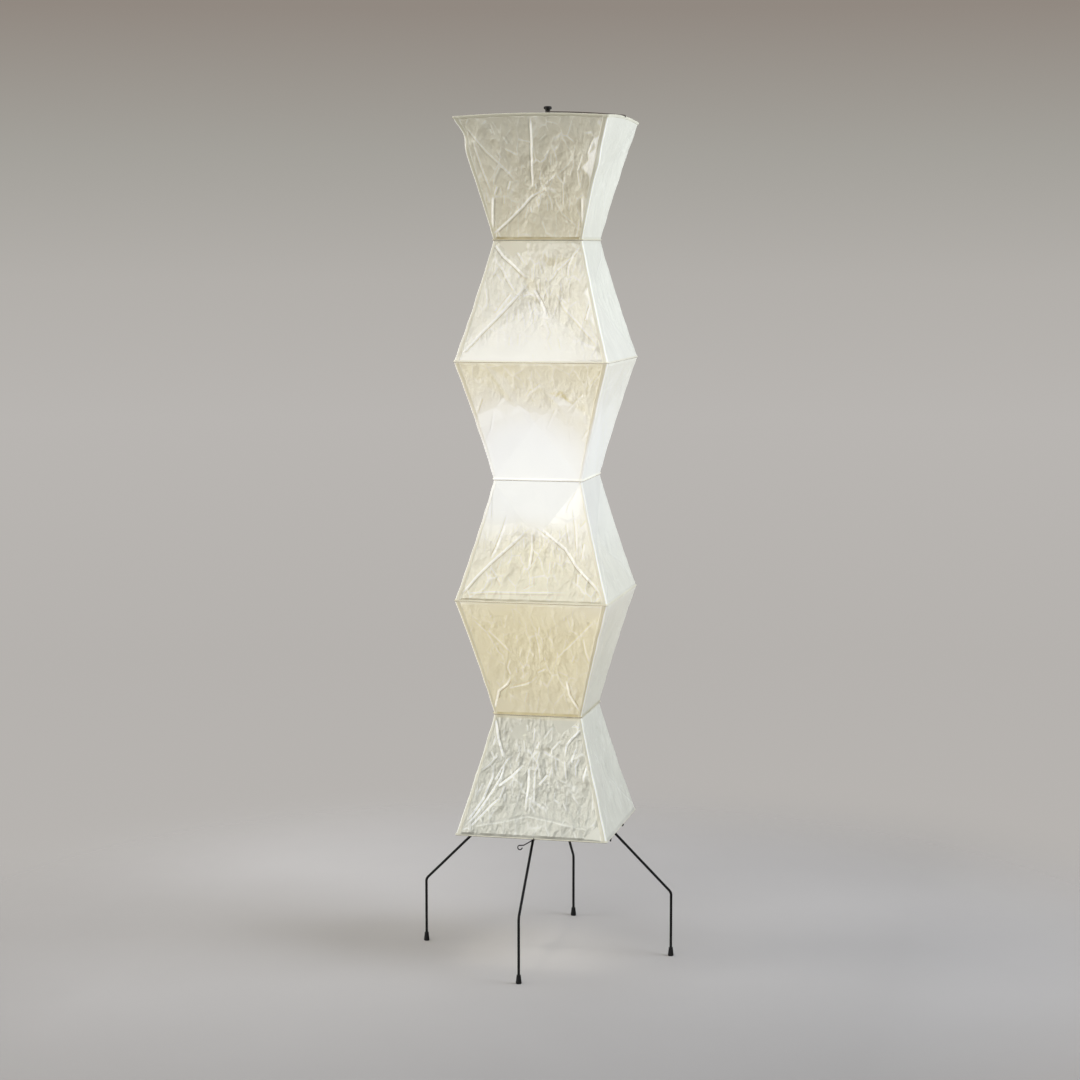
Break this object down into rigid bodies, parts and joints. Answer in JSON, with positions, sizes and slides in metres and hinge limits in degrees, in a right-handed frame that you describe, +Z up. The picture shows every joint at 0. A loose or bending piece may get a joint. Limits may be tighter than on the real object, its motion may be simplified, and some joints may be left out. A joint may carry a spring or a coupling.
{
  "type": "paper lantern floor lamp",
  "caption": "Tall floor lamp: a square waisted paper shade on wire ribs round a slim pole, held on bent rod legs.",
  "frame": {"origin": "on the floor, under the pole", "axes": "+Z up along the pole; -Y is the front face of the shade; the legs point along X and Y"},
  "size_m": [0.595, 0.595, 1.9332],
  "materials": {
    "black_steel": "satin",
    "black_rubber": "matte",
    "zinc_steel": "satin",
    "spring_wire": "satin",
    "knob_black": "satin",
    "rib_wire": "satin",
    "shade_paper": "matte",
    "holder_plastic": "satin",
    "holder_ceramic": "matte",
    "brass": "satin",
    "opal_globe": "satin",
    "bulb_plastic": "satin",
    "board_metal": "matte",
    "cap_metal": "satin",
    "black_glass": "gloss"
  },
  "bodies": {
    "root": {"hub": "black_steel", "pole_lower": "black_steel", "pole_upper": "black_steel", "holder_bracket": "black_steel", "leg_front": "black_steel", "leg_right": "black_steel", "leg_back": "black_steel", "leg_left": "black_steel", "hook_front": "black_steel", "hook_right": "black_steel", "hook_back": "black_steel", "hook_left": "black_steel", "foot_front": "black_rubber", "foot_right": "black_rubber", "foot_back": "black_rubber", "foot_left": "black_rubber", "hub_nut_lower": "zinc_steel", "hub_nut_upper": "zinc_steel", "pole_coupler": "zinc_steel", "bow_washer": "zinc_steel", "bracket_nut": "zinc_steel", "cable_nipple": "zinc_steel", "nipple_nut": "zinc_steel", "bow_wire": "spring_wire", "rib_6": "rib_wire", "paper_6": "shade_paper", "holder_base": "holder_plastic", "holder_sleeve": "holder_plastic", "contact_block": "holder_ceramic", "centre_contact": "brass", "thread_shell": "brass"},
    "finial": {"knob": "knob_black"},
    "bulb": {"bulb_globe": "opal_globe", "bulb_neck": "bulb_plastic", "bulb_board": "board_metal", "bulb_cap": "cap_metal", "bulb_insulator": "black_glass", "bulb_tip": "cap_metal"},
    "shade_5": {"rib_5": "rib_wire", "paper_5": "shade_paper"},
    "shade_4": {"rib_4": "rib_wire", "paper_4": "shade_paper"},
    "shade_3": {"rib_3": "rib_wire", "paper_3": "shade_paper"},
    "shade_2": {"rib_2": "rib_wire", "paper_2": "shade_paper"},
    "shade_1": {"rib_1": "rib_wire", "paper_1": "shade_paper"},
    "shade_0": {"rib_0": "rib_wire"}
  },
  "joints": [
    {"name": "knob_turn", "type": "hinge", "parent": "root", "child": "finial", "pos_m": [0, 0, 1.92], "axis": [0, 0, 1], "range_deg": [0, 1080]},
    {"name": "bulb_turn", "type": "hinge", "parent": "root", "child": "bulb", "pos_m": [-0.0297, -0.0297, 1.05], "axis": [0, 0, 1], "range_deg": [0, 900]},
    {"name": "tier_6_fold", "type": "slide", "parent": "root", "child": "shade_5", "axis": [0, 0, 1], "range_m": [0, 0.259], "deforming": ["paper_6"]},
    {"name": "tier_5_fold", "type": "slide", "parent": "shade_5", "child": "shade_4", "axis": [0, 0, 1], "range_m": [0, 0.259], "deforming": ["paper_5"]},
    {"name": "tier_4_fold", "type": "slide", "parent": "shade_4", "child": "shade_3", "axis": [0, 0, 1], "range_m": [0, 0.259], "deforming": ["paper_4"]},
    {"name": "tier_3_fold", "type": "slide", "parent": "shade_3", "child": "shade_2", "axis": [0, 0, 1], "range_m": [0, 0.259], "deforming": ["paper_3"]},
    {"name": "tier_2_fold", "type": "slide", "parent": "shade_2", "child": "shade_1", "axis": [0, 0, 1], "range_m": [0, 0.259], "deforming": ["paper_2"]},
    {"name": "tier_1_fold", "type": "slide", "parent": "shade_1", "child": "shade_0", "axis": [0, 0, 1], "range_m": [0, 0.259], "deforming": ["paper_1"]}
  ],
  "couplings": [
    {"joint": "tier_5_fold", "follows": "tier_6_fold", "ratio": 1},
    {"joint": "tier_4_fold", "follows": "tier_6_fold", "ratio": 1},
    {"joint": "tier_3_fold", "follows": "tier_6_fold", "ratio": 1},
    {"joint": "tier_2_fold", "follows": "tier_6_fold", "ratio": 1},
    {"joint": "tier_1_fold", "follows": "tier_6_fold", "ratio": 1}
  ]
}
